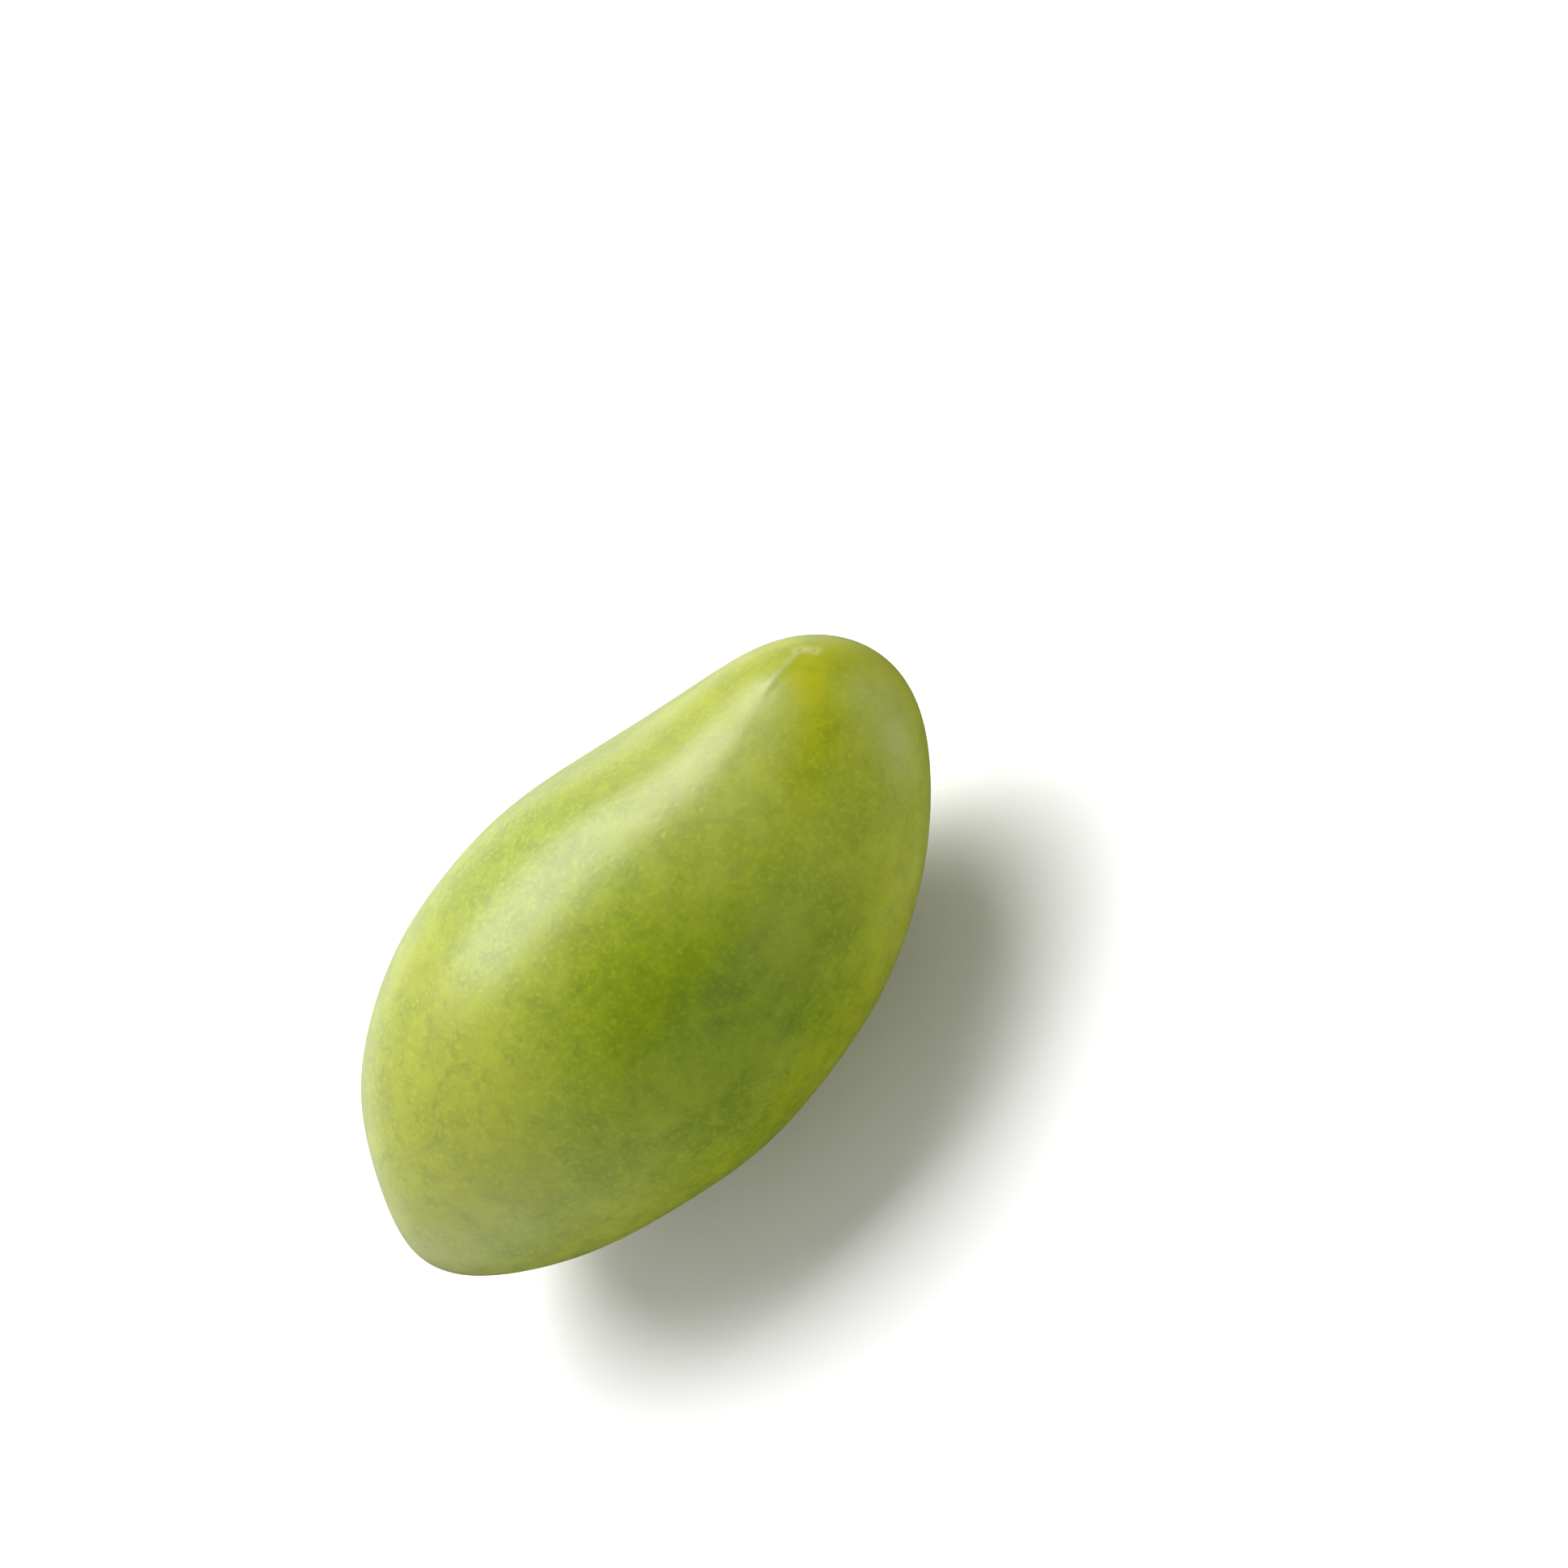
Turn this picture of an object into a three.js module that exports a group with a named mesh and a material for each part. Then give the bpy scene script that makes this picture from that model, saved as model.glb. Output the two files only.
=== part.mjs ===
// A whole green mango, picked, lying on a surface on the back of its beaked edge.
// Sizes are in millimetres. The fruit is shaped lengthwise first, with X from the stem to the beak,
// Y towards the beaked edge and Z towards one cheek, and is then turned to the way it rests, with Z up.
import * as THREE from 'three';

// Driving sizes of the body
const HALF_LENGTH = 66.6;
const HALF_WIDTH = 36.7; // from the middle to the beaked edge
const HALF_THICKNESS = 34.3; // from the middle to a cheek

// How the body departs from an ellipsoid
const END_FULLNESS = 0.1;
const WIDTH_TAPER = 0.017; // narrower towards the beak
const THICKNESS_TAPER = 0.015;
const END_THINNING = 0.053; // both ends a little thinner from cheek to cheek
const BOW = 0.6; // both ends lifted towards the beaked edge
const SKEW = 5.0; // the beak end lifted and the stem end dropped

// Where the beak and the stem sit, as turns away from the long axis, in radians
const BEAK_TURN = 0.49;
const STEM_TURN = 0.215;
const STEM_LEAN = 0.15; // the stem stands a little to one cheek

// Relief at the two ends: heights in millimetres, reaches as angles from the beak or the stem, in radians
const BEAK_HEIGHT = 3.3;
const BEAK_REACH = 0.37;
const SINUS_DEPTH = 2.2; // the shallow hollow in the beaked edge, below the beak
const SINUS_TURN = -0.44; // the hollow sits a little towards one cheek
const SINUS_PLACE = 0.87;
const SINUS_LENGTH = 0.52;
const SINUS_WIDTH = 0.47;
const STEM_HOLLOW_DEPTH = 5.2;
const STEM_HOLLOW_REACH = 0.378;

// The stub of the stalk
const STUB_RADIUS = 4.4; // out to the corky scars
const STUB_HEIGHT = 1.7;
const SCAR_COUNT = 5;
const SCAR_SCALLOP = 0.16; // how deep the notches between the scars are, as a share of the radius
const SEAT_GAP = 0.3;

// The way it rests
const REST_ROLL = THREE.MathUtils.degToRad(68); // 90 would put the beaked edge straight up
const REST_PITCH = THREE.MathUtils.degToRad(2.05);
const FLAT_SPOT_DEPTH = 0.9; // how much of the round back is pressed flat where it lies

// Fineness of the surfaces
const FRUIT_RINGS = 40;
const FRUIT_SIDES = 60;
const STUB_SIDES = 40;

// A bump that is 1 in its middle and dies away smoothly within about two reaches.
function bump(distance, reach) {
  return Math.exp(-((distance / reach) ** 2));
}

// The fruit's skin. along runs from 0 at the stem to PI at the beak, and around turns from the beaked edge
// towards the cheek. A point of the unit sphere is turned so that the poles reach the stem and the beak,
// stretched to the body, tapered and bowed, and last moved along its normal by the relief of the two ends.
function skinPoint(along, around) {
  const ex = -Math.cos(along);
  const ey = Math.sin(along) * Math.cos(around);
  const ez = Math.sin(along) * Math.sin(around);
  const turn = ex > 0 ? BEAK_TURN * ex * ex : -STEM_TURN * ex * ex;
  const lean = ex > 0 ? 0 : STEM_LEAN * ex * ex;

  const turnedX = ex * Math.cos(turn) - ey * Math.sin(turn);
  const dy = ex * Math.sin(turn) + ey * Math.cos(turn);
  const dx = turnedX * Math.cos(lean) - ez * Math.sin(lean);
  const dz = turnedX * Math.sin(lean) + ez * Math.cos(lean);

  const x = HALF_LENGTH * (dx - END_FULLNESS * dx * (1 - dx * dx));
  const y = HALF_WIDTH * (1 - WIDTH_TAPER * dx) * dy + BOW * dx ** 2 + SKEW * dx ** 3;
  const z = HALF_THICKNESS * (1 - THICKNESS_TAPER * dx - END_THINNING * dx * dx) * dz;
  const normal = new THREE.Vector3(dx / HALF_LENGTH, dy / HALF_WIDTH, dz / HALF_THICKNESS).normalize();

  const fromBeak = Math.PI - along;
  const towardsSinus = fromBeak * Math.cos(around - SINUS_TURN) - SINUS_PLACE;
  const acrossSinus = fromBeak * Math.sin(around - SINUS_TURN);
  const beak = BEAK_HEIGHT * bump(fromBeak, BEAK_REACH);
  const sinus = SINUS_DEPTH * bump(towardsSinus, SINUS_LENGTH) * bump(acrossSinus, SINUS_WIDTH);
  const stemHollow = STEM_HOLLOW_DEPTH * bump(along, STEM_HOLLOW_REACH);
  return new THREE.Vector3(x, y, z).addScaledVector(normal, beak - sinus - stemHollow);
}

// A closed body from rings of points, with a single point at each end. The rings follow each other along
// the body's axis and the sides turn about it by the right-hand rule, so the faces point outwards.
function closedSurface(rings, sides, pointAt) {
  const corner = (ring, side) => {
    if (ring === 0) return 0;
    if (ring === rings) return 1 + (rings - 1) * sides;
    return 1 + (ring - 1) * sides + (side % sides);
  };
  const positions = [...pointAt(0, 0)];
  for (let ring = 1; ring < rings; ring += 1) {
    for (let side = 0; side < sides; side += 1) {
      positions.push(...pointAt(ring, side));
    }
  }
  positions.push(...pointAt(rings, 0));

  const triangles = [];
  for (let ring = 0; ring < rings; ring += 1) {
    for (let side = 0; side < sides; side += 1) {
      const a = corner(ring, side);
      const b = corner(ring, side + 1);
      const c = corner(ring + 1, side + 1);
      const d = corner(ring + 1, side);
      if (ring > 0) triangles.push(a, b, c);
      if (ring < rings - 1) triangles.push(a, c, d);
    }
  }
  const geometry = new THREE.BufferGeometry();
  geometry.setAttribute('position', new THREE.Float32BufferAttribute(positions, 3));
  geometry.setIndex(triangles);
  return geometry;
}

function fruitGeometry() {
  return closedSurface(FRUIT_RINGS, FRUIT_SIDES, (ring, side) => {
    return skinPoint((Math.PI * ring) / FRUIT_RINGS, (2 * Math.PI * side) / FRUIT_SIDES);
  });
}

// The stub sits square on the floor of the stem hollow, on the highest point under its rim and one gap above.
function stemSeat() {
  const rimAngle = STUB_RADIUS / HALF_WIDTH;
  const centre = skinPoint(0, 0);
  const rim = [0, 1, 2, 3, 4, 5, 6, 7].map((eighth) => skinPoint(rimAngle, (Math.PI * eighth) / 4));
  const acrossY = rim[0].clone().sub(rim[4]);
  const acrossZ = rim[2].clone().sub(rim[6]);
  const out = acrossZ.clone().cross(acrossY).normalize();
  const side = acrossY.normalize();
  const rise = Math.max(...rim.map((point) => point.clone().sub(centre).dot(out)), 0);
  const matrix = new THREE.Matrix4().makeBasis(side, out.clone().cross(side), out);
  return matrix.setPosition(centre.clone().addScaledVector(out, rise + SEAT_GAP));
}

// The outline of the stub from the middle of its underside to the top of its button: shares of the radius
// and of the height. The last column says how much of the scars' scallop each ring takes.
const STUB_PROFILE = [
  [0.0, 0.0, 0],
  [0.55, 0.0, 0],
  [0.94, 0.02, 1],
  [1.0, 0.18, 1],
  [0.92, 0.38, 1],
  [0.7, 0.42, 0.6],
  [0.54, 0.33, 0],
  [0.49, 0.5, 0],
  [0.47, 0.8, 0],
  [0.32, 0.96, 0],
  [0.0, 1.0, 0],
];

function stubGeometry() {
  const geometry = closedSurface(STUB_PROFILE.length - 1, STUB_SIDES, (ring, side) => {
    const [radiusShare, heightShare, scallop] = STUB_PROFILE[ring];
    const angle = (2 * Math.PI * side) / STUB_SIDES;
    const notch = 1 - Math.abs(Math.cos((SCAR_COUNT * angle) / 2));
    const radius = STUB_RADIUS * radiusShare * (1 - SCAR_SCALLOP * scallop * notch);
    return [radius * Math.cos(angle), radius * Math.sin(angle), STUB_HEIGHT * heightShare];
  });
  return geometry.applyMatrix4(stemSeat());
}

// Turns both pieces to the way the fruit rests, presses the flat spot, and puts the origin under the
// middle of the whole thing, on the surface that it lies on.
function layDown(fruit, stub) {
  const turn = new THREE.Matrix4().makeRotationX(REST_ROLL);
  const restTurn = new THREE.Matrix4().makeRotationY(REST_PITCH).multiply(turn);
  fruit.applyMatrix4(restTurn);
  stub.applyMatrix4(restTurn);

  fruit.computeBoundingBox();
  stub.computeBoundingBox();
  const whole = fruit.boundingBox.clone().union(stub.boundingBox);
  const middle = whole.getCenter(new THREE.Vector3());
  const floor = fruit.boundingBox.min.z + FLAT_SPOT_DEPTH;
  fruit.translate(-middle.x, -middle.y, -floor);
  stub.translate(-middle.x, -middle.y, -floor);

  const points = fruit.attributes.position;
  for (let i = 0; i < points.count; i += 1) {
    points.setZ(i, Math.max(points.getZ(i), 0));
  }
}

const skin = new THREE.MeshStandardMaterial({ color: 0x9cae3a, roughness: 0.5, metalness: 0 });
const cork = new THREE.MeshStandardMaterial({ color: 0x6b5b45, roughness: 0.85, metalness: 0 });

const fruitShape = fruitGeometry();
const stubShape = stubGeometry();
layDown(fruitShape, stubShape);
fruitShape.computeVertexNormals();
stubShape.computeVertexNormals();

const fruit = new THREE.Mesh(fruitShape, skin);
fruit.name = 'fruit';
const stemStub = new THREE.Mesh(stubShape, cork);
stemStub.name = 'stem_stub';

const mango = new THREE.Group();
mango.add(fruit, stemStub);

export default mango;
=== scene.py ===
# %% [markdown]
# # A whole green mango, lying on its back
#
# The fruit is one grown body with a small beak at one end and the dry rest of its stalk at the other.
# Everything here ends in metres, with Z up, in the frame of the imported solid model, whose box the finished
# fruit has to fill. The lesson first grows the body by a formula and adds its relief, then lays it down, and
# then gives each piece its colour.

# %% The frame
import math

import bpy
import numpy as np
from mathutils import Matrix, Vector


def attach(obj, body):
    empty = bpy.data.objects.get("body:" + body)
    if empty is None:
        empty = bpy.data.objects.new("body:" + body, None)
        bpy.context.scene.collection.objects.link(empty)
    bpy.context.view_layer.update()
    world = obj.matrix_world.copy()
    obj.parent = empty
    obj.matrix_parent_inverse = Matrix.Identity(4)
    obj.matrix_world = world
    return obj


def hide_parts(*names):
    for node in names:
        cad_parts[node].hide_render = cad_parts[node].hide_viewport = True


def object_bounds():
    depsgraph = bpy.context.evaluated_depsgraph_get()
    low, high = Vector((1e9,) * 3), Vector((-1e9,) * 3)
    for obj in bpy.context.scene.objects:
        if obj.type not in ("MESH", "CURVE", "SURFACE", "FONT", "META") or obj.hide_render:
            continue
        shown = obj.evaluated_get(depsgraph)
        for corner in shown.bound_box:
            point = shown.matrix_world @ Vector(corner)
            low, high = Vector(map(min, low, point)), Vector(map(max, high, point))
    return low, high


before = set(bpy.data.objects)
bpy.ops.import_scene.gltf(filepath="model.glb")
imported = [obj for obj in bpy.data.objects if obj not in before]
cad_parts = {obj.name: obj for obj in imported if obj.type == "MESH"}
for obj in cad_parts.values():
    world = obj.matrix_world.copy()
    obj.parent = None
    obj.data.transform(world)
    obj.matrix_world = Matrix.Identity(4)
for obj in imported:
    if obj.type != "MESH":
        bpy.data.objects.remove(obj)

cad_low, cad_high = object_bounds()
print("box of the solid model, mm:", [round(1000 * v, 2) for v in (*cad_low, *cad_high)])

# %% [markdown]
# ## The shape of the body
#
# A mango isn't round in any of its cuts: it is longest from stem to beak, a little thicker at the stem end,
# and both ends are turned towards the beaked edge. It could be carved from a stretched ball, but a formula
# keeps every later detail tied to the same two numbers: how far along from the stem a point is, and how far
# around from the beaked edge. Lengths in this part are in millimetres, as on a fruit gauge.

# %% Driving sizes of the body, in millimetres and radians
HALF_LENGTH = 66.6
HALF_WIDTH = 36.7
HALF_THICKNESS = 34.3
END_FULLNESS = 0.1
WIDTH_TAPER = 0.017
THICKNESS_TAPER = 0.015
END_THINNING = 0.053
BOW = 0.6
SKEW = 5.0
BEAK_TURN = 0.49
STEM_TURN = 0.215
STEM_LEAN = 0.15
BEAK_HEIGHT = 3.3
BEAK_REACH = 0.37
SINUS_DEPTH = 2.2
SINUS_TURN = -0.44
SINUS_PLACE = 0.87
SINUS_LENGTH = 0.52
SINUS_WIDTH = 0.47
STEM_HOLLOW_DEPTH = 5.2
STEM_HOLLOW_REACH = 0.378

# %% The body as a function of two angles


def bump(distance, reach):
    """1 in the middle and dying away on both sides: e to the minus square of distance over reach."""
    return np.exp(-((distance / reach) ** 2))


def grown_body(along, around):
    """Points of the body and its outward directions, in millimetres, in the frame the fruit is measured in.

    along is 0 at the stem and pi at the beak; around is 0 on the beaked edge and a quarter turn on a cheek.
    A point of a ball of radius 1 is turned about Z by an angle that grows with the square of its place along
    X, so that the poles reach the stem and the beak. It is stretched by the three half sizes, tapered,
    bowed, and last moved along the outward direction by beak minus hollow minus stem hollow, each a bump.
    """
    x0 = -np.cos(along)
    y0 = np.sin(along) * np.cos(around)
    z0 = np.sin(along) * np.sin(around)
    turn = np.where(x0 > 0, BEAK_TURN, -STEM_TURN) * x0**2
    lean = np.where(x0 > 0, 0.0, STEM_LEAN) * x0**2
    turned_x = x0 * np.cos(turn) - y0 * np.sin(turn)
    dy = x0 * np.sin(turn) + y0 * np.cos(turn)
    dx = turned_x * np.cos(lean) - z0 * np.sin(lean)
    dz = turned_x * np.sin(lean) + z0 * np.cos(lean)

    x = HALF_LENGTH * (dx - END_FULLNESS * dx * (1 - dx**2))
    y = HALF_WIDTH * (1 - WIDTH_TAPER * dx) * dy + BOW * dx**2 + SKEW * dx**3
    z = HALF_THICKNESS * (1 - THICKNESS_TAPER * dx - END_THINNING * dx**2) * dz
    out = np.stack([dx / HALF_LENGTH, dy / HALF_WIDTH, dz / HALF_THICKNESS], axis=-1)
    out /= np.linalg.norm(out, axis=-1, keepdims=True)

    from_beak = np.pi - along
    towards_sinus = from_beak * np.cos(around - SINUS_TURN) - SINUS_PLACE
    across_sinus = from_beak * np.sin(around - SINUS_TURN)
    beak = BEAK_HEIGHT * bump(from_beak, BEAK_REACH)
    sinus = SINUS_DEPTH * bump(towards_sinus, SINUS_LENGTH) * bump(across_sinus, SINUS_WIDTH)
    stem_hollow = STEM_HOLLOW_DEPTH * bump(along, STEM_HOLLOW_REACH)
    height = beak - sinus - stem_hollow
    return np.stack([x, y, z], axis=-1) + out * height[..., None], out


# %% [markdown]
# ## Places at the two ends
#
# The details near the beak and the stem are easiest to place on two small flat maps, one for each end.
# On each map the end is the middle, "down" runs towards the beaked edge and "across" towards the cheek that
# faces up, both in millimetres. The maps are only good within some 20 mm of their middle, which is all that
# the details need.

# %% Maps of the two ends
BEAK_MM_PER_RADIAN = 33.5
STEM_MM_PER_RADIAN = 35.5


def beak_map(along, around):
    """Down and across, in millimetres from the beak: the angle from the beak times the size of the end."""
    distance = (np.pi - along) * BEAK_MM_PER_RADIAN
    return distance * np.cos(around), distance * np.sin(around)


def stem_map(along, around):
    """Down and across, in millimetres from the stem's middle: the angle along times the size of the end."""
    distance = along * STEM_MM_PER_RADIAN
    return distance * np.cos(around), distance * np.sin(around)


def spot(place, centre, reach):
    """A round bump on a map: 1 at the centre, dying away with the distance over reach."""
    return bump(np.hypot(place[0] - centre[0], place[1] - centre[1]), reach)


def streak(place, start, end, width):
    """A bump along the straight line from start to end on a map: 1 on the line, dying away with width."""
    run = (end[0] - start[0], end[1] - start[1])
    share = ((place[0] - start[0]) * run[0] + (place[1] - start[1]) * run[1]) / (run[0] ** 2 + run[1] ** 2)
    share = np.clip(share, 0, 1)
    return bump(np.hypot(place[0] - start[0] - share * run[0], place[1] - start[1] - share * run[1]), width)


# %% [markdown]
# ## Relief of the skin
#
# A real fruit is never as smooth as its formula. The flesh under the skin makes it swell and sink by a tenth
# of a millimetre or two over a few centimetres, which is what bends its reflections. At the beak there is
# the corky scar of the flower's style with a small dimple beside it, and a thin fold runs from it down the
# edge. At the stem the skin is drawn together in short radial creases. All this is added along the outward
# direction, which is simpler than sculpting and stays the same each time.

# %% Swells
SWELL_HEIGHT = 0.16
SWELL_COUNT = 16
SWELL_SHORTEST = 24
SWELL_LONGEST = 62
SWELL_SEED = 11


def waves(points, count, shortest, longest, seed):
    """A smooth random field of about unit size: the sum of plane waves in random directions.

    Each wave has a random direction, a random start, and a length between shortest and longest.
    """
    rng = np.random.default_rng(seed)
    total = np.zeros(points.shape[:-1])
    for _ in range(count):
        direction = rng.normal(size=3)
        direction /= np.linalg.norm(direction)
        length = rng.uniform(shortest, longest)
        total += np.sin(points @ direction * (2 * np.pi / length) + rng.uniform(0, 2 * np.pi))
    return total * math.sqrt(2 / count)


# %% Beak and fold, all in millimetres on the map of the beak
SCAR_CENTRE = (-0.1, 1.5)
SCAR_END = (-1.7, 2.3)
SCAR_REACH = 0.9
SCAR_RIM = 0.06
SCAR_PIT = 0.12
DIMPLE_START = (2.0, 4.1)
DIMPLE_END = (-0.6, 5.6)
DIMPLE_DEPTH = 0.16
FOLD_START = (0.6, 2.2)
FOLD_MIDDLE = (5.2, 5.6)
FOLD_END = (12.5, 11.6)
FOLD_HEIGHT = 0.13
LONG_FOLD_HEIGHT = 0.1
CREASE_START = (4.0, 5.6)
CREASE_END = (6.0, 7.4)
CREASE_DEPTH = 0.05
LONG_CREASE_START = (7.0, 8.4)
LONG_CREASE_END = (14.0, 15.2)
LONG_CREASE_DEPTH = 0.06


def beak_relief(along, around):
    """Height in millimetres: scar rim minus pits minus dimple plus folds minus the creases beside them.

    Each is its height times a spot or a streak, whose last number is its reach or width in millimetres.
    """
    place = beak_map(along, around)
    rim = SCAR_RIM * streak(place, SCAR_CENTRE, SCAR_END, SCAR_REACH)
    pit = SCAR_PIT * (spot(place, SCAR_CENTRE, 0.4) + 0.7 * spot(place, SCAR_END, 0.4))
    dimple = DIMPLE_DEPTH * streak(place, DIMPLE_START, DIMPLE_END, 1.3)
    fold = FOLD_HEIGHT * streak(place, FOLD_START, FOLD_MIDDLE, 0.9)
    long_fold = LONG_FOLD_HEIGHT * streak(place, FOLD_MIDDLE, FOLD_END, 1.9)
    crease = CREASE_DEPTH * streak(place, CREASE_START, CREASE_END, 0.7)
    long_crease = LONG_CREASE_DEPTH * streak(place, LONG_CREASE_START, LONG_CREASE_END, 1.5)
    return rim - pit - dimple + fold + long_fold - crease - long_crease


# %% Creases round the stem
PUCKER_COUNT = 9
PUCKER_DEPTH = 0.22
PUCKER_PLACE = 6.4
PUCKER_REACH = 2.2


def stem_relief(along, around):
    """Height in millimetres: minus radial creases in a ring round the stem, deepest at PUCKER_PLACE."""
    distance = along * STEM_MM_PER_RADIAN
    spoke = np.abs(np.cos(PUCKER_COUNT * around / 2 + 0.6 * np.sin(3 * around))) ** 6
    return -PUCKER_DEPTH * spoke * bump(distance - PUCKER_PLACE, PUCKER_REACH)


def whole_fruit(along, around):
    """The finished skin in millimetres: the grown body moved outwards by swells and both ends' relief."""
    points, out = grown_body(along, around)
    swell = SWELL_HEIGHT * waves(points, SWELL_COUNT, SWELL_SHORTEST, SWELL_LONGEST, SWELL_SEED)
    height = swell + beak_relief(along, around) + stem_relief(along, around)
    return points + out * height[..., None]


# %% [markdown]
# ## Laying it down
#
# The fruit doesn't stand on a point: it rolls until its weight is lowest and presses a small flat spot on
# its back. The roll and pitch are those of the solid model. After the turn the skin is fitted to the box of
# the solid model, which takes out the few tenths of a millimetre that the swells add.

# %% Turn, shift and fit
REST_ROLL = math.radians(68)
REST_PITCH = math.radians(2.05)
FLAT_SPOT_DEPTH = 0.9
MM = 0.001

rest_turn = np.array(Matrix.Rotation(REST_PITCH, 3, "Y") @ Matrix.Rotation(REST_ROLL, 3, "X"))


def lay_down_rule(points):
    """Scale and shift, for each axis, that bring the turned points, in millimetres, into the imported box."""
    turned = points.reshape(-1, 3) @ rest_turn.T
    low, high = turned.min(axis=0), turned.max(axis=0)
    low[2] += FLAT_SPOT_DEPTH
    target_low, target_high = np.array(cad_low), np.array(cad_high)
    scale = (target_high - target_low) / (high - low)
    return scale, target_low - low * scale


def laid_down(points, rule):
    """Points in metres in the shared frame, never below the surface that the fruit lies on."""
    scale, shift = rule
    placed = points @ rest_turn.T * scale + shift
    placed[..., 2] = np.maximum(placed[..., 2], 0)
    return placed


# %% [markdown]
# ## From rows of points to a mesh
#
# Every piece here is a closed surface made of rings, with one point at each end. The rings turn by the
# right-hand rule about the line from the first end to the last, so that the faces look outwards.

# %% Mesh from rings


def ring_mesh(name, grid, fields=None):
    """An object from a grid of points, rings by sides by 3; the first and last ring are the two end points.

    fields are named values for each point of the grid, which the materials read.
    """
    rings, sides = grid.shape[0] - 1, grid.shape[1]
    inner = grid[1:-1].reshape(-1, 3)
    points = np.vstack([grid[0, 0], inner, grid[-1, 0]])
    side = np.arange(sides)
    following = (side + 1) % sides
    last = len(points) - 1
    faces = [(0, int(1 + b), int(1 + a)) for a, b in zip(side, following)]
    ring = np.arange(rings - 2)[:, None] * sides + 1
    quads = np.stack([ring + side, ring + following, ring + sides + following, ring + sides + side], axis=-1)
    faces += [tuple(q) for q in quads.reshape(-1, 4).tolist()]
    end = 1 + (rings - 2) * sides
    faces += [(int(end + a), int(end + b), last) for a, b in zip(side, following)]

    mesh = bpy.data.meshes.new(name)
    mesh.from_pydata(points.tolist(), [], faces)
    for field, values in (fields or {}).items():
        flat = np.concatenate([values[0, :1], values[1:-1].ravel(), values[-1, :1]])
        layer = mesh.attributes.new(field, "FLOAT", "POINT")
        layer.data.foreach_set("value", flat.astype(np.float32))
    mesh.shade_smooth()
    piece = bpy.data.objects.new(name, mesh)
    bpy.context.scene.collection.objects.link(piece)
    print(name, "has", len(points), "points and", len(faces), "faces")
    return piece


# %% [markdown]
# ## Points of the skin
#
# The rings stand closer together at both ends, where the small relief is, and wider apart on the plain
# middle. An even spacing would need two and a half times as many rings to show the scar as well.

# %% Points of the skin
SKIN_RINGS = 300
SKIN_SIDES = 310
END_CLOSENESS = 0.3

share = np.linspace(0, 1, SKIN_RINGS + 1)
along_rows = np.pi * share - END_CLOSENESS * np.sin(2 * np.pi * share)
around_rows = np.linspace(0, 2 * np.pi, SKIN_SIDES, endpoint=False)
along, around = np.meshgrid(along_rows, around_rows, indexing="ij")

fruit_points = whole_fruit(along, around)
rule = lay_down_rule(fruit_points)
print("fit to the box of the solid model:", np.round(rule[0] / MM, 4))

# %% [markdown]
# ## Where the colour changes
#
# Each point also carries a few values that say how yellow, corky or pale with bloom the skin is there, where
# a highlight is painted on it, and where shade is painted on it. They are laid out on the same maps as the
# relief, so that colour and shape stay in register, and the large ones as oval patches of the body's own two
# angles.

# %% Yellow, cork and scar


def patch(centre, reach):
    """An oval patch of skin: the bump of the way along times the bump of the way around, the short way.

    centre and reach are each two angles: along and around.
    """
    turned_away = (around - centre[1] + np.pi) % (2 * np.pi) - np.pi
    return bump(along - centre[0], reach[0]) * bump(turned_away, reach[1])


beak_place = beak_map(along, around)
stem_place = stem_map(along, around)
yellowed = (
    1.1 * streak(beak_place, (0.7, 4.7), (0.5, 7.6), 2.0)
    + 0.7 * streak(beak_place, (0.9, 8.2), (2.2, 10.6), 1.7)
    + 0.6 * streak(beak_place, (-1.5, 4.4), (-6.0, -0.5), 2.0)
    + 0.4 * spot(beak_place, (-11.0, 1.0), 8.0)
    + 0.4 * bump(np.pi - along, 0.85)
    + 0.5 * spot(stem_place, (5.0, 9.0), 4.0)
    + 0.35 * spot(stem_place, (-8.0, -4.0), 4.5)
)
corked = 0.9 * streak(beak_place, SCAR_CENTRE, SCAR_END, 0.8)
scarred = 0.8 * spot(beak_place, SCAR_CENTRE, 0.4) + 0.35 * spot(beak_place, SCAR_END, 0.3)
print("share of the skin that is more than half yellowed:", round(float((yellowed > 0.5).mean()), 3))

# %% Pale bloom with painted highlight, and painted shade
# pale waxy bloom, partly painted highlight: the pale line along the fold is a painted highlight on its ridge,
# and the broad patches are partly painted sheen and partly real bloom
bloom_and_painted_highlight = (
    0.75 * streak(beak_place, FOLD_START, FOLD_MIDDLE, 0.45)
    + 0.3 * streak(beak_place, FOLD_MIDDLE, FOLD_END, 2.2)
    + 0.4 * streak(beak_place, (-6.0, 10.0), (-10.5, 14.5), 4.0)
    + 0.35 * streak(beak_place, (4.5, 9.5), (7.5, 15.0), 2.8)
    + 0.45 * bump(along * STEM_MM_PER_RADIAN - 6.0, 1.8)
    + 0.3 * patch((0.85, 1.6), (0.4, 0.6))
    + 0.45 * patch((2.3, 0.75), (0.35, 0.5))
    + 0.35 * patch((2.45, 2.5), (0.4, 0.45))
)
# painted shade: darker along the crease and long crease beside the fold and in the dimple by the beak, where
# shade falls
painted_shade = (
    0.6 * streak(beak_place, CREASE_START, CREASE_END, 0.6)
    + 0.2 * streak(beak_place, (7.0, 8.6), (13.0, 14.0), 1.2)
    + 0.3 * streak(beak_place, DIMPLE_START, DIMPLE_END, 0.9)
    # painted shade over the lower cheek, which is turned away from the lamps
    + 1.25 * patch((1.75, 1.55), (0.52, 0.8))
)
# the second value printed is the strongest painted shade
print("strongest pale and deep green:", round(float(bloom_and_painted_highlight.max()), 2), round(float(painted_shade.max()), 2))

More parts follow.
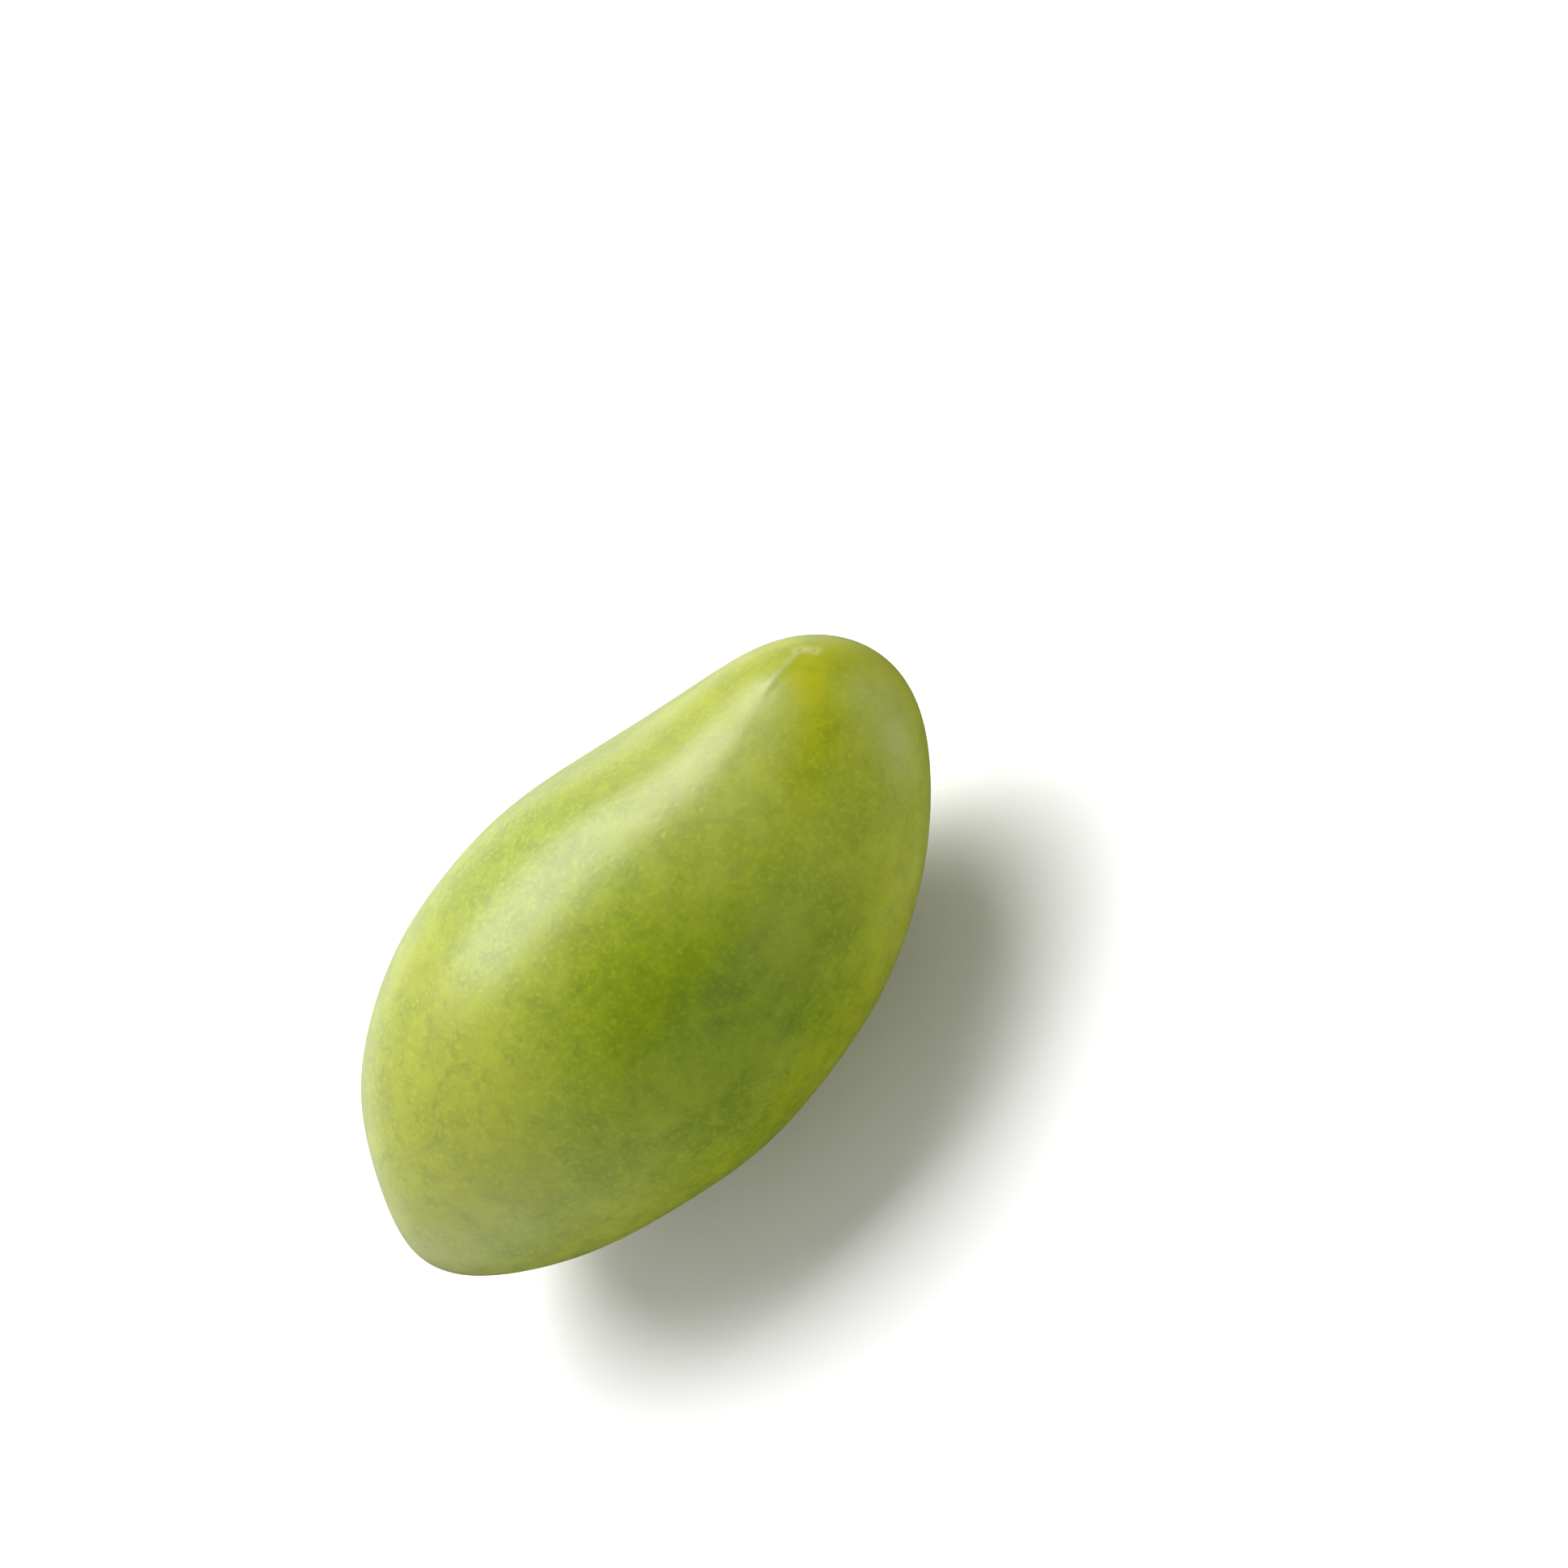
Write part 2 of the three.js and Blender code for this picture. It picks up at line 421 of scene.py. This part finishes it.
# %% Skin mesh
skin = ring_mesh(
    "mango_skin",
    laid_down(fruit_points, rule),
    {
        "yellowed": yellowed,
        "corked": corked,
        "scarred": scarred,
        "bloom_and_painted_highlight": bloom_and_painted_highlight,
        "painted_shade": painted_shade,
    },
)

# %% [markdown]
# ## The rest of the stalk
#
# Where the stalk broke off, a dry button is left in the middle of five corky scars. Both are turned
# surfaces: a profile goes from the middle of the underside out to the rim and back over the top, and the
# scars' rim is scalloped. They stand square on the floor of the stem hollow. The scars' underside is sunk
# into the skin, because they grow out of it.

# %% Seat of the stalk
STUB_RADIUS = 4.4
STUB_HEIGHT = 1.7
SEAT_SINK = 0.15

seat_centre = grown_body(np.array(0.0), np.array(0.0))[0]
rim_around = np.arange(8) * np.pi / 4
seat_rim = grown_body(np.full(8, STUB_RADIUS / HALF_WIDTH), rim_around)[0]
across_y = seat_rim[0] - seat_rim[4]
across_z = seat_rim[2] - seat_rim[6]
seat_out = np.cross(across_z, across_y)
seat_out /= np.linalg.norm(seat_out)
seat_side = across_y / np.linalg.norm(across_y)
seat_rise = max(((seat_rim - seat_centre) @ seat_out).max(), 0) - SEAT_SINK
seat_turn = np.stack([seat_side, np.cross(seat_out, seat_side), seat_out])


def on_the_seat(points):
    """Points of the stalk's own frame, Z outwards, brought to the seat, in millimetres."""
    return points @ seat_turn + seat_centre + seat_out * seat_rise


# %% Scars and button
STUB_SIDES = 150
STUB_RINGS = 60
SCAR_COUNT = 5
SCAR_SCALLOP = 0.16
LUMP_COUNT = 14
LUMP_SHORTEST = 0.7
LUMP_LONGEST = 2.4


def turned_piece(name, radii, heights, scallops, roughness, seed):
    """A turned surface through a profile of radii and heights, in shares of the stub's, on the seat.

    The radius shrinks between the scars by the scallop, and a random field lifts or lowers each point and
    moves it a quarter as much sideways. steps and rows say how far along the profile a value or a ring is.
    """
    steps = np.linspace(0, 1, len(radii))
    rows = np.linspace(0, 1, STUB_RINGS + 1)
    angle = np.linspace(0, 2 * np.pi, STUB_SIDES, endpoint=False)
    notch = 1 - np.abs(np.cos(SCAR_COUNT * angle / 2))
    radius = STUB_RADIUS * np.interp(rows, steps, radii)[:, None]
    radius = radius * (1 - SCAR_SCALLOP * np.interp(rows, steps, scallops)[:, None] * notch[None, :])
    height = STUB_HEIGHT * np.interp(rows, steps, heights)[:, None] * np.ones_like(angle)[None, :]
    points = np.stack([radius * np.cos(angle), radius * np.sin(angle), height], axis=-1)
    relief = roughness * waves(points, LUMP_COUNT, LUMP_SHORTEST, LUMP_LONGEST, seed)
    relief = relief * np.minimum(1, rows * 3)[:, None] * np.hypot(points[..., 0], points[..., 1]).clip(0, 1)
    points[..., 2] += relief
    points[..., :2] *= (1 + 0.25 * relief)[..., None]
    middle = points[[0, -1]].mean(axis=1)
    points[0], points[-1] = middle[0], middle[1]
    edge = np.hypot(points[..., 0], points[..., 1]) / STUB_RADIUS
    fields = {"edge": edge, "notch": np.ones(len(rows))[:, None] * notch[None, :]}
    return ring_mesh(name, laid_down(on_the_seat(points), rule), fields)


scars = turned_piece(
    "stalk_scars",
    [0.0, 0.5, 0.9, 0.99, 1.0, 0.96, 0.88, 0.78, 0.66, 0.54, 0.3, 0.0],
    [-0.6, -0.6, -0.5, 0.0, 0.2, 0.34, 0.4, 0.37, 0.31, 0.26, 0.24, 0.24],
    [0, 0, 1, 1, 1, 1, 0.9, 0.7, 0.4, 0.1, 0, 0],
    0.05,
    3,
)
button = turned_piece(
    "stalk_button",
    [0.0, 0.3, 0.46, 0.5, 0.49, 0.48, 0.46, 0.41, 0.32, 0.2, 0.0],
    [0.1, 0.1, 0.12, 0.3, 0.5, 0.65, 0.8, 0.9, 0.97, 1.0, 1.0],
    [0, 0, 0, 0.3, 0.3, 0.3, 0.3, 0.2, 0.1, 0, 0],
    0.1,
    8,
)

# %% [markdown]
# ## Colours
#
# Each material is built from noise in the piece's own coordinates, so nothing is painted from a picture. The
# skin has, from large to small: a slow drift from fresh green to olive, yellower patches where it ripens, a
# mottle of about a centimetre, ragged flecks of some millimetres, a fine grain, and the pale dots of its
# pores. A thin waxy bloom lies over it in soft clouds. The greens hold hardly any blue: what blue is seen on
# the skin is the white light in its gloss.

# %% A new node


def add_node(tree, kind, values=None, **settings):
    """A new node: settings are its properties, values its inputs, each a constant or another's output."""
    made = tree.nodes.new(kind)
    for name, value in settings.items():
        setattr(made, name, value)
    for name, value in (values or {}).items():
        if isinstance(value, bpy.types.NodeSocket):
            tree.links.new(value, made.inputs[name])
        else:
            made.inputs[name].default_value = value
    return made


# %% Short names for the nodes


class Tree:
    """The node tree of a new material, with a few short calls for the nodes that are used here."""

    def __init__(self, name):
        self.material = bpy.data.materials.new(name)
        self.material.use_nodes = True
        self.nodes = self.material.node_tree.nodes
        self.nodes.clear()
        self.place = self.node("ShaderNodeTexCoord").outputs["Object"]

    def node(self, kind, values=None, **settings):
        """A new node of this material."""
        return add_node(self.material.node_tree, kind, values, **settings)

    def noise(self, scale, detail=2.0, roughness=0.5, distortion=0.0):
        """Noise with that many features in a metre, from 0 to 1."""
        values = {"Vector": self.place, "Scale": scale, "Detail": detail}
        values.update({"Roughness": roughness, "Distortion": distortion})
        return self.node("ShaderNodeTexNoise", values).outputs["Fac"]

    def ramp(self, value, low, high, out_low=0.0, out_high=1.0):
        """The value's range from low to high, smoothly mapped to the range from out_low to out_high."""
        values = {"Value": value, "From Min": low, "From Max": high, "To Min": out_low, "To Max": out_high}
        return self.node("ShaderNodeMapRange", values, interpolation_type="SMOOTHSTEP").outputs["Result"]

    def maths(self, operation, first, second, clamp=False):
        """Two values added or multiplied, as the operation says."""
        values = {0: first, 1: second}
        return self.node("ShaderNodeMath", values, operation=operation, use_clamp=clamp).outputs[0]

    def mix(self, share, first, second, blend="MIX"):
        """A colour between first and second."""
        values = {0: share, 6: self.colour(first), 7: self.colour(second)}
        made = self.node("ShaderNodeMix", values, data_type="RGBA", blend_type=blend)
        return made.outputs[2]

    def colour(self, value):
        """A socket as it is, and three numbers with a fourth for a colour input."""
        return value if isinstance(value, bpy.types.NodeSocket) else (*value, 1.0)

    def field(self, name):
        """A value that the points of the mesh carry."""
        return self.node("ShaderNodeAttribute", attribute_name=name).outputs["Fac"]

    def finish(self, piece, colour, roughness, height, depth, **values):
        """The shader itself: colour, roughness, a bump of the given depth in metres, and constant values."""
        lift = self.node("ShaderNodeBump", {"Height": height, "Distance": depth, "Strength": 1.0})
        inputs = {"Base Color": colour, "Roughness": roughness, "Normal": lift.outputs["Normal"]}
        inputs.update(values)
        shader = self.node("ShaderNodeBsdfPrincipled", inputs)
        self.node("ShaderNodeOutputMaterial", {"Surface": shader.outputs["BSDF"]})
        piece.data.materials.append(self.material)


# %% Colours of the skin
FRESH_GREEN = (0.198, 0.25, 0.003)
OLIVE_GREEN = (0.24, 0.266, 0.004)
YELLOW_GREEN = (0.305, 0.32, 0.004)
LIGHT_GREEN = (0.29, 0.342, 0.004)
DEEP_GREEN = (0.132, 0.178, 0.001)
# tint that is multiplied in where shade is painted
SHADED = (0.58, 0.68, 0.3)
RIPE_YELLOW = (0.285, 0.298, 0.001)
# pale colour of the waxy bloom, also laid on as a painted highlight through the pale field
BLOOM_AND_SHEEN = (0.3, 0.34, 0.11)
PORE = (0.34, 0.39, 0.07)
TAN = (0.43, 0.42, 0.15)
BROWN = (0.2, 0.155, 0.03)

# %% Fineness of the skin's noises, in features per metre
DRIFT_FINENESS = 24
RIPENING_FINENESS = 38
CLOUD_FINENESS = 46
MOTTLE_FINENESS = 85
FLECK_FINENESS = 230
PORE_PATCH_FINENESS = 330
PORE_FINENESS = 400
GRAIN_FINENESS = 1100

# %% Patches, mottle and flecks
peel = Tree("mango_peel")
drift = peel.ramp(peel.noise(DRIFT_FINENESS, 2), 0.38, 0.62)
ripening = peel.ramp(peel.noise(RIPENING_FINENESS, 4, 0.6, 0.5), 0.52, 0.76, 0.0, 0.4)
mottle = peel.noise(MOTTLE_FINENESS, 5, 0.55, 0.3)
ragged = peel.noise(FLECK_FINENESS, 6, 0.72, 0.4)
grain = peel.noise(GRAIN_FINENESS, 2, 0.5)
clouds = peel.ramp(peel.noise(CLOUD_FINENESS, 4, 0.6, 0.8), 0.48, 0.74)
tone = peel.mix(drift, FRESH_GREEN, OLIVE_GREEN)
tone = peel.mix(ripening, tone, YELLOW_GREEN)
tone = peel.mix(peel.ramp(mottle, 0.48, 0.66, 0.0, 0.32), tone, LIGHT_GREEN)
tone = peel.mix(peel.ramp(mottle, 0.5, 0.36, 0.0, 0.21), tone, DEEP_GREEN)
tone = peel.mix(peel.ramp(ragged, 0.5, 0.66, 0.0, 0.46), tone, LIGHT_GREEN)
tone = peel.mix(peel.ramp(ragged, 0.5, 0.37, 0.0, 0.46), tone, DEEP_GREEN)
tone = peel.mix(peel.ramp(grain, 0.5, 0.7, 0.0, 0.55), tone, LIGHT_GREEN)

# %% Pores and bloom
pores = peel.node("ShaderNodeTexVoronoi", {"Vector": peel.place, "Scale": PORE_FINENESS, "Randomness": 1.0})
pore = peel.ramp(pores.outputs["Distance"], 0.3, 0.1)
pore_patches = peel.ramp(peel.noise(PORE_PATCH_FINENESS, 1), 0.4, 0.62, 0.0, 0.2)
pore_strength = peel.maths("MULTIPLY", pore, pore_patches)
tone = peel.mix(pore_strength, tone, PORE)
tone = peel.mix(peel.maths("MULTIPLY", clouds, 0.05), tone, BLOOM_AND_SHEEN)

# %% [markdown]
# ## The placed colours on top
#
# Yellow, pale bloom with its painted highlight, cork and scar are each broken up by one of the noises,
# because a smooth edge would look sprayed on. The painted shade is multiplied in instead, so that the mottle
# under it stays as strong as elsewhere.

# %% Placed colours
broken = peel.ramp(mottle, 0.3, 0.7, 0.65, 1.2)
tone = peel.mix(peel.maths("MULTIPLY", peel.field("yellowed"), broken, clamp=True), tone, RIPE_YELLOW)
# painted shade: creases, dimple and lower cheek darkened by multiplying with SHADED
tone = peel.mix(peel.maths("MULTIPLY", peel.field("painted_shade"), 0.85), tone, SHADED, "MULTIPLY")
# pale bloom, with a painted highlight along the fold and on broad patches
tone = peel.mix(peel.maths("MULTIPLY", peel.field("bloom_and_painted_highlight"), broken, clamp=True), tone, BLOOM_AND_SHEEN)
cork_broken = peel.ramp(ragged, 0.4, 0.6, 0.5, 1.1)
tone = peel.mix(peel.maths("MULTIPLY", peel.field("corked"), cork_broken, clamp=True), tone, TAN)
tone = peel.mix(peel.maths("MULTIPLY", peel.field("scarred"), broken, clamp=True), tone, BROWN)

# %% Gloss and fine relief of the skin
WAX_ROUGHNESS = 0.35
BLOOM_ROUGHNESS = 0.45
WAX_IOR = 1.5
PEEL_DEPTH = 0.00005

gloss = peel.ramp(clouds, 0.0, 1.0, WAX_ROUGHNESS, BLOOM_ROUGHNESS)
peel_height = peel.maths("ADD", peel.maths("MULTIPLY", grain, 0.35), peel.maths("MULTIPLY", pore, -0.4))
peel.finish(skin, tone, gloss, peel_height, PEEL_DEPTH, IOR=WAX_IOR)
print("nodes in the skin's material:", len(peel.nodes))

# %% Cork colour
CORK_DARK = (0.045, 0.028, 0.018)
CORK_MID = (0.18, 0.13, 0.065)
CORK_LIGHT = (0.36, 0.32, 0.15)
CORK_DEPTH = 0.00012
CORK_PATCH_FINENESS = 900
CORK_GRAIN_FINENESS = 4200


def cork(piece, name, inner, outer, rim):
    """Dry cork: a coarse and a fine noise between inner and outer, with the colour of rim at the edge."""
    tree = Tree(name)
    coarse = tree.ramp(tree.noise(CORK_PATCH_FINENESS, 3, 0.6), 0.35, 0.65)
    fine = tree.noise(CORK_GRAIN_FINENESS, 3, 0.6)
    tone = tree.mix(coarse, inner, outer)
    tone = tree.mix(tree.ramp(fine, 0.4, 0.7, 0.0, 0.5), tone, CORK_DARK)
    tone = tree.mix(tree.ramp(tree.field("edge"), 0.8, 0.97, 0.0, 0.8), tone, rim)
    tone = tree.mix(tree.ramp(tree.field("notch"), 0.6, 1.0, 0.0, 0.7), tone, rim)
    height = tree.maths("ADD", tree.maths("MULTIPLY", coarse, 0.6), fine)
    tree.finish(piece, tone, tree.ramp(fine, 0.3, 0.7, 0.7, 0.9), height, CORK_DEPTH)


cork(scars, "stalk_cork", CORK_LIGHT, CORK_MID, CORK_DARK)
cork(button, "stalk_wood", CORK_MID, CORK_DARK, CORK_LIGHT)

# %% [markdown]
# ## Into the frame
#
# All three pieces belong to the one still body of the fruit. The skin stands for the fruit's solid and the
# two stalk pieces for the stub's.

# %% Frame links
for piece, node, slot in (
    (skin, "fruit", "skin"),
    (scars, "stem_stub", "stem"),
    (button, "stem_stub", "stem"),
):
    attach(piece, "root")
    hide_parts(node)

# %% [markdown]
# ## Floor
#
# The fruit lies on one large square of plain pale paper. The floor is hidden from mirror-like rays, because
# seen in the gloss it would lay a pale veil over the whole lower half of the skin.

# %% Floor
REACH = 6.0
PAPER_DARK = (0.86, 0.86, 0.86)
PAPER_LIGHT = (0.88, 0.88, 0.88)

floor_mesh = bpy.data.meshes.new("floor")
corners = [(-REACH, -REACH, 0), (REACH, -REACH, 0), (REACH, REACH, 0), (-REACH, REACH, 0)]
floor_mesh.from_pydata(corners, [], [(0, 1, 2, 3)])
floor = bpy.data.objects.new("floor", floor_mesh)
bpy.context.scene.collection.objects.link(floor)
floor.visible_glossy = False
paper = Tree("floor_paper")
paper_tone = paper.mix(paper.ramp(paper.noise(3, 2), 0.3, 0.7), PAPER_DARK, PAPER_LIGHT)
paper.finish(floor, paper_tone, 0.9, paper.noise(400, 2), 0.0)

# %% [markdown]
# ## Surround
#
# A room is brighter on one side than on the other, and a fruit shows it: one flank shines and the other
# stays deep. The surround grows brighter towards one direction and dims below the horizon. In the gloss it
# counts in full, and on the plain colour less, which keeps the sheen and still leaves the shaded side dark.

# %% Brightness of the surround
SURROUND_FRONT = 0.02
SURROUND_BACK = 1.75
SURROUND_SHARE = 0.42
SURROUND_TOWARDS = (-0.74, 0.67, 0.06)
TURN_FROM, TURN_TO = -0.42, 0.6
DEPTH_FROM, DEPTH_TO = -0.9, -0.3
DEPTH_SHARE = 0.05

world = bpy.data.worlds.new("studio_surround")
world.use_nodes = True
sky = world.node_tree

# %% From direction to brightness
looking = add_node(sky, "ShaderNodeTexCoord").outputs["Generated"]
pair = {0: looking, 1: Vector(SURROUND_TOWARDS).normalized()}
towards_back = add_node(sky, "ShaderNodeVectorMath", pair, operation="DOT_PRODUCT").outputs["Value"]
rise = {"Value": towards_back, "From Min": TURN_FROM, "From Max": TURN_TO}
rise.update({"To Min": SURROUND_FRONT, "To Max": SURROUND_BACK})
brightness = add_node(sky, "ShaderNodeMapRange", rise, interpolation_type="SMOOTHSTEP").outputs["Result"]
upwardness = add_node(sky, "ShaderNodeSeparateXYZ", {0: looking}).outputs["Z"]
sink = {"Value": upwardness, "From Min": DEPTH_FROM, "From Max": DEPTH_TO, "To Min": DEPTH_SHARE}
lower_half = add_node(sky, "ShaderNodeMapRange", sink, interpolation_type="SMOOTHSTEP").outputs["Result"]

# %% Full in the gloss, less on the plain colour
mirrored = add_node(sky, "ShaderNodeLightPath").outputs["Is Glossy Ray"]
by_ray = {"Value": mirrored, "To Min": SURROUND_SHARE}
part = add_node(sky, "ShaderNodeMapRange", by_ray).outputs["Result"]
strength = add_node(sky, "ShaderNodeMath", {0: brightness, 1: lower_half}, operation="MULTIPLY").outputs[0]
strength = add_node(sky, "ShaderNodeMath", {0: strength, 1: part}, operation="MULTIPLY").outputs[0]
sky.nodes["Background"].inputs["Color"].default_value = (1.0, 1.0, 1.0, 1.0)
sky.links.new(strength, sky.nodes["Background"].inputs["Strength"])
bpy.context.scene.world = world
print("surround from", SURROUND_FRONT, "to", SURROUND_BACK, "with", SURROUND_SHARE, "on the plain colour")

# %% [markdown]
# ## Lamps
#
# A wide soft box hangs high behind the fruit. It makes the long highlight on the side that is turned up and
# throws the shadow forwards. A smaller lamp would give a hard spot instead. The fill box in front lifts the
# shaded side and is hidden from mirror-like rays, so that it leaves no second highlight.

# %% Key and fill
FRUIT_MIDDLE = Vector((0.0, 0.0, 0.035))
KEY_RADIANCE = 6.4
KEY_DIRECTION = (0.02, 0.53, 0.85)
KEY_WIDTH = 1.25
KEY_HEIGHT = 0.71
FILL_RADIANCE = 2.8
FILL_DIRECTION = (0.38, -0.91, 0.15)
FILL_WIDTH = 2.2
FILL_HEIGHT = 0.55
LAMP_DISTANCE = 1.1


def soft_box(name, direction, width, height, radiance):
    """A flat lamp that looks at the fruit; its power is four times its area times its brightness."""
    lamp = bpy.data.lights.new(name, "AREA")
    lamp.shape = "RECTANGLE"
    lamp.size, lamp.size_y = width, height
    lamp.energy = 4 * width * height * radiance
    holder = bpy.data.objects.new(name, lamp)
    towards = Vector(direction).normalized()
    holder.location = FRUIT_MIDDLE + towards * LAMP_DISTANCE
    holder.rotation_euler = towards.to_track_quat("Z", "Y").to_euler()
    bpy.context.scene.collection.objects.link(holder)
    print(name, "gives", round(lamp.energy, 2), "W")
    return holder


soft_box("key_box", KEY_DIRECTION, KEY_WIDTH, KEY_HEIGHT, KEY_RADIANCE)
fill = soft_box("fill_box", FILL_DIRECTION, FILL_WIDTH, FILL_HEIGHT, FILL_RADIANCE)
fill.visible_glossy = False
bpy.context.scene.view_settings.view_transform = "Standard"

# %% [markdown]
# ## Camera
#
# The camera looks down on the fruit from three quarters of a metre and is rolled, so that the beak points to
# the upper right. Its lens is given by the width of the picture and the focal length, both in pixels, and
# its aim by the pixel on which the middle of the fruit falls.

# %% Camera's values
PICTURE_PIXELS = 1932
FOCAL_PIXELS = 5467
SENSOR_MM = 36
AZIMUTH = math.radians(21.45)
ELEVATION = math.radians(54.22)
ROLL = math.radians(-64.59)
DISTANCE = 0.76
AIM_PIXEL = (804.4, 1184.4)

# %% Camera's three directions
back = Vector(
    (
        math.sin(AZIMUTH) * math.cos(ELEVATION),
        -math.cos(AZIMUTH) * math.cos(ELEVATION),
        math.sin(ELEVATION),
    )
)
level = Vector((math.cos(AZIMUTH), math.sin(AZIMUTH), 0.0))
upwards = back.cross(level)
picture_right = math.cos(ROLL) * level + math.sin(ROLL) * upwards
picture_up = math.cos(ROLL) * upwards - math.sin(ROLL) * level
straight = Matrix((picture_right, picture_up, back)).transposed()
half = PICTURE_PIXELS / 2
aim_ray = Vector((AIM_PIXEL[0] - half, half - AIM_PIXEL[1], -FOCAL_PIXELS)).normalized()
turned = straight @ aim_ray.rotation_difference(Vector((0, 0, -1))).to_matrix()

# %% The camera itself
camera = bpy.data.objects.new("camera", bpy.data.cameras.new("camera"))
camera.data.sensor_width = SENSOR_MM
camera.data.lens = FOCAL_PIXELS / PICTURE_PIXELS * SENSOR_MM
camera.matrix_world = Matrix.Translation(FRUIT_MIDDLE + back * DISTANCE) @ turned.to_4x4()
bpy.context.scene.collection.objects.link(camera)
bpy.context.scene.camera = camera
print("lens:", round(camera.data.lens, 1), "mm on", SENSOR_MM, "mm")
